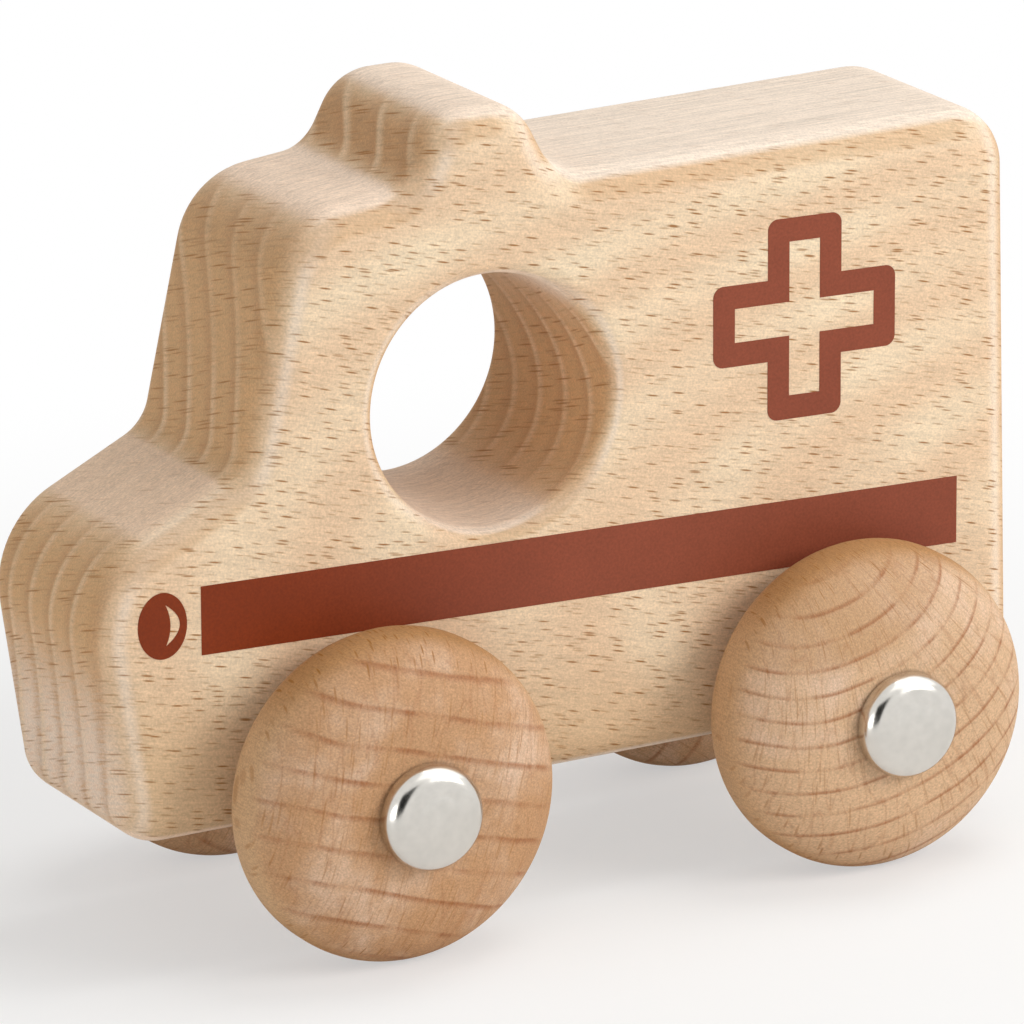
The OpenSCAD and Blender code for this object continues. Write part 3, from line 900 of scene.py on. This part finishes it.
class AMBULANCE_OT_prints(bpy.types.Operator):
    """Print the cross, the stripe and the headlamp on both sides"""
    bl_idname = "ambulance.prints"
    bl_label = "Printed ink"

    def execute(self, context):
        p = context.scene.ambulance_prints
        finishes = context.scene.ambulance_finishes
        inks = [printed_ink("Printed ink", finishes.ink_front, finishes.ink),
                printed_ink("Printed ink, thin edge", finishes.ink_edge, finishes.ink_edge)]
        drawings = {"cross": self.cross, "stripe": self.stripe, "headlamp": self.headlamp}
        for motif, draw in drawings.items():
            near = f"left_{motif}_print"
            loops = draw(p)
            film = self.lay_film(f"left_{motif}_ink", loops, near, p)
            far = f"right_{motif}_print"
            shift = Vector((0.0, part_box(far)[0].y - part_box(near)[1].y + p.film, 0.0))
            other = twin(film, f"right_{motif}_ink", shift)
            finish(film, "body", near, "red_ink", *inks)
            finish(other, "body", far, "red_ink", *inks)
        return {"FINISHED"}

    def lay_film(self, name, loops, node, p):
        """A thin film between closed loops that are drawn and turned round the node's middle."""
        middle = centre(node)
        turn = Matrix.Rotation(-p.turn, 3, "Y")
        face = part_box(node)[1].y
        drawn = []
        for loop in loops:
            points = [Vector((middle.x, face, middle.z)) + turn @ Vector((x, 0.0, z)) for x, z in loop]
            drawn.append(draw_line(name, points, closed=True))
            bpy.ops.object.mode_set(mode="OBJECT")
        only(*drawn)
        if len(drawn) > 1:
            bpy.ops.object.join()
        film = bpy.context.object
        film.name = name
        bpy.ops.object.mode_set(mode="EDIT")
        bpy.ops.mesh.select_all(action="SELECT")
        bpy.ops.mesh.fill(use_beauty=True)
        bpy.ops.mesh.select_all(action="SELECT")
        bpy.ops.mesh.normals_make_consistent(inside=False)
        bpy.ops.mesh.select_mode(type="FACE")
        bpy.ops.mesh.select_all(action="SELECT")
        bpy.ops.mesh.inset(thickness=p.halo, use_boundary=True)
        # What lies outside the inset is the thin edge of the ink, with the second material
        bpy.ops.mesh.select_all(action="INVERT")
        for _ in range(2):
            bpy.ops.object.material_slot_add()
        film.active_material_index = 1
        bpy.ops.object.material_slot_assign()
        bpy.ops.mesh.select_all(action="SELECT")
        bpy.ops.mesh.extrude_region_move(TRANSFORM_OT_translate={"value": (0, -p.film, 0)})
        close_up()
        return film

    def stripe(self, p):
        """A plain bar."""
        x, z = p.stripe_length / 2, p.stripe_width / 2
        return [[(-x, -z), (-x, z), (x, z), (x, -z)]]

    def cross(self, p):
        """An outlined cross with rounded arm tips outside and sharp corners inside."""
        loops = []
        for inset, tip_round in ((0.0, p.cross_round), (p.cross_line, 0.0)):
            span = p.cross_span / 2 - inset
            arm = p.cross_arm / 2 - inset
            quarter = [(-span, arm, tip_round), (-arm, arm, 0.0), (-arm, span, tip_round)]
            corners = []
            for k in range(4):
                turn = Matrix.Rotation(-math.pi / 2 * k, 2)
                corners.extend((*(turn @ Vector((x, z))), radius) for x, z, radius in quarter)
            loops.append([tuple(point) for point in rounded(corners)])
        return loops

    def headlamp(self, p):
        """An oval with a crescent left bare near its rear edge."""
        oval = [(p.lamp_length / 2 * math.cos(a), p.lamp_rise / 2 * math.sin(a))
                for a in (2 * math.pi * k / OVAL_STEPS for k in range(OVAL_STEPS))]
        heights = [k / GLINT_STEPS for k in range(-GLINT_STEPS, GLINT_STEPS + 1)]
        rear = [(p.glint_setback + p.glint_bulge * (1 - t * t), p.glint_rise / 2 * t) for t in heights]
        inner = p.glint_bulge - p.glint_width
        front = [(p.glint_setback + inner * (1 - t * t), p.glint_rise / 2 * t) for t in heights[-2:0:-1]]
        return [oval, rear + front]


class AMBULANCE_OT_rods(bpy.types.Operator):
    """Finish the steel rods and the spring-steel lock rings, whose solids are shown as they are"""
    bl_idname = "ambulance.rods"
    bl_label = "Rods and lock rings"

    # Tone of the blued spring steel, as a share of the rods'
    BLUED = 0.6

    def execute(self, context):
        steel = context.scene.ambulance_finishes.steel
        rod = plain_metal("Drawn steel rod", steel, smooth=0.22, rough=0.42, grit=0.8)
        spring = plain_metal("Blued spring steel", [c * self.BLUED for c in steel],
                             smooth=0.3, rough=0.5, grit=0.5)
        finishes = {f"{end}_axle": rod for end in ENDS}
        finishes.update({f"{name}_lock_ring": spring for name in WHEELS})
        for name, material in finishes.items():
            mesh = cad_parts[name].data
            mesh.materials.clear()
            mesh.materials.append(material)
        return {"FINISHED"}


class AMBULANCE_OT_stage(bpy.types.Operator):
    """Set up the camera, the lamps, the white sky, the floor and the cards that the caps mirror"""
    bl_idname = "ambulance.stage"
    bl_label = "Stage"

    WHITE = (1.0, 1.0, 1.0)
    # Nearest distance that the camera shows, and the width of the floor
    NEAR = 0.01
    FLOOR_WIDTH = 6.0
    # White in the floor under the toy, and where it begins to grow, as a share of the clear distance
    FLOOR_WHITE = 0.5
    FADE_FROM = 0.25

    def execute(self, context):
        s = context.scene.ambulance_stage
        context.scene.view_settings.view_transform = "Standard"
        eye, aim = Vector(s.eye), Vector(s.aim)
        tilted = self.towards(eye, aim).to_matrix() @ Matrix.Rotation(s.roll, 3, "Z")
        bpy.ops.object.camera_add(location=eye, rotation=tilted.to_euler())
        camera = context.object
        camera.data.lens = s.lens
        camera.data.clip_start = self.NEAR
        context.scene.camera = camera
        for name, spot, power in (("Key lamp", s.key, s.key_power), ("Top lamp", s.top, s.top_power),
                                  ("Fill lamp", s.fill, s.fill_power)):
            spot = Vector(spot)
            bpy.ops.object.light_add(type="AREA", location=spot, rotation=self.towards(spot, aim))
            lamp = context.object
            lamp.name = name
            lamp.data.shape = "DISK"
            lamp.data.size = s.lamp_size
            lamp.data.energy = power
        self.sky(context, s)
        self.floor(s)
        self.hang_card("Black card", s.flag, s.flag_size, aim, 0.0)
        self.hang_card("White card", s.card, s.card_size, aim, s.card_glow)
        return {"FINISHED"}

    def towards(self, spot, target):
        """Rotation that points a camera or lamp from a spot at a target."""
        return (target - spot).to_track_quat("-Z", "Y").to_euler()

    def seen_directly(self, tree):
        """1 for a ray from the camera, or one mirrored or passed on by a surface."""
        path = add(tree, "ShaderNodeLightPath").outputs
        mirrored = calc(tree, "MAXIMUM", path["Is Camera Ray"], path["Is Glossy Ray"])
        return calc(tree, "MAXIMUM", mirrored, path["Is Transmission Ray"])

    def sky(self, context, s):
        """Even white light, and a white background where it is seen."""
        world = bpy.data.worlds.new("White studio")
        context.scene.world = world
        world.use_nodes = True
        tree = world.node_tree
        tree.nodes.clear()
        light = add(tree, "ShaderNodeBackground", {"Color": self.WHITE, "Strength": s.sky})
        white = add(tree, "ShaderNodeBackground", {"Color": self.WHITE, "Strength": 1.0})
        seen = add(tree, "ShaderNodeMixShader", {0: self.seen_directly(tree), 1: light, 2: white})
        add(tree, "ShaderNodeOutputWorld", {"Surface": seen})

    def floor(self, s):
        """A plain pale floor that keeps the toy's shadow and fades to white around it."""
        bpy.ops.mesh.primitive_plane_add(size=self.FLOOR_WIDTH)
        floor = bpy.context.object
        floor.name = "studio_floor"
        material, tree = new_material("Pale studio floor")
        distance = vector(tree, "LENGTH", add(tree, "ShaderNodeTexCoord").outputs["Object"])
        faded = ramp(tree, distance, s.floor_clear * self.FADE_FROM, s.floor_clear, self.FLOOR_WHITE)
        share = times(tree, faded, self.seen_directly(tree))
        paint = add(tree, "ShaderNodeBsdfDiffuse", {"Color": s.floor})
        white = add(tree, "ShaderNodeEmission", {"Color": self.WHITE, "Strength": 1.0})
        mixed = add(tree, "ShaderNodeMixShader", {0: share, 1: paint, 2: white})
        add(tree, "ShaderNodeOutputMaterial", {"Surface": mixed})
        floor.data.materials.append(material)

    def hang_card(self, name, spot, width, aim, glow):
        """A black or glowing card that only mirrors see, so that polished edges have a tone to show."""
        spot = Vector(spot)
        bpy.ops.mesh.primitive_plane_add(size=width, location=spot, rotation=self.towards(spot, aim))
        card = bpy.context.object
        card.name = name
        material, tree = new_material(name)
        shine = add(tree, "ShaderNodeEmission", {"Color": self.WHITE, "Strength": glow})
        add(tree, "ShaderNodeOutputMaterial", {"Surface": shine})
        card.data.materials.append(material)
        card.visible_camera = False
        card.visible_diffuse = False
        card.visible_transmission = False
        card.visible_shadow = False


class AMBULANCE_PT_panel(bpy.types.Panel):
    """Sidebar panel of the toy ambulance"""
    bl_idname = "AMBULANCE_PT_panel"
    bl_label = "Toy Ambulance"
    bl_space_type = "VIEW_3D"
    bl_region_type = "UI"
    bl_category = "Toy Ambulance"

    def draw(self, context):
        for operator in OPERATORS:
            self.layout.operator(operator.bl_idname)
        for name in GROUPS:
            group = getattr(context.scene, name)
            box = self.layout.box()
            for key in group.bl_rna.properties.keys():
                if key not in ("rna_type", "name"):
                    box.prop(group, key)


OPERATORS = (AMBULANCE_OT_block, AMBULANCE_OT_wheels, AMBULANCE_OT_caps, AMBULANCE_OT_prints,
             AMBULANCE_OT_rods, AMBULANCE_OT_stage)
GROUPS = {
    "ambulance_block": AmbulanceBlock,
    "ambulance_wheels": AmbulanceWheels,
    "ambulance_prints": AmbulancePrints,
    "ambulance_finishes": AmbulanceFinishes,
    "ambulance_stage": AmbulanceStage,
}


def register():
    for kind in (*GROUPS.values(), *OPERATORS, AMBULANCE_PT_panel):
        bpy.utils.register_class(kind)
    for name, group in GROUPS.items():
        setattr(bpy.types.Scene, name, PointerProperty(type=group))


def unregister():
    for name in GROUPS:
        delattr(bpy.types.Scene, name)
    for kind in reversed((*GROUPS.values(), *OPERATORS, AMBULANCE_PT_panel)):
        bpy.utils.unregister_class(kind)


def main():
    register()
    bpy.ops.ambulance.block()
    bpy.ops.ambulance.wheels()
    bpy.ops.ambulance.caps()
    bpy.ops.ambulance.prints()
    bpy.ops.ambulance.rods()
    bpy.ops.ambulance.stage()


if __name__ == "__main__":
    main()
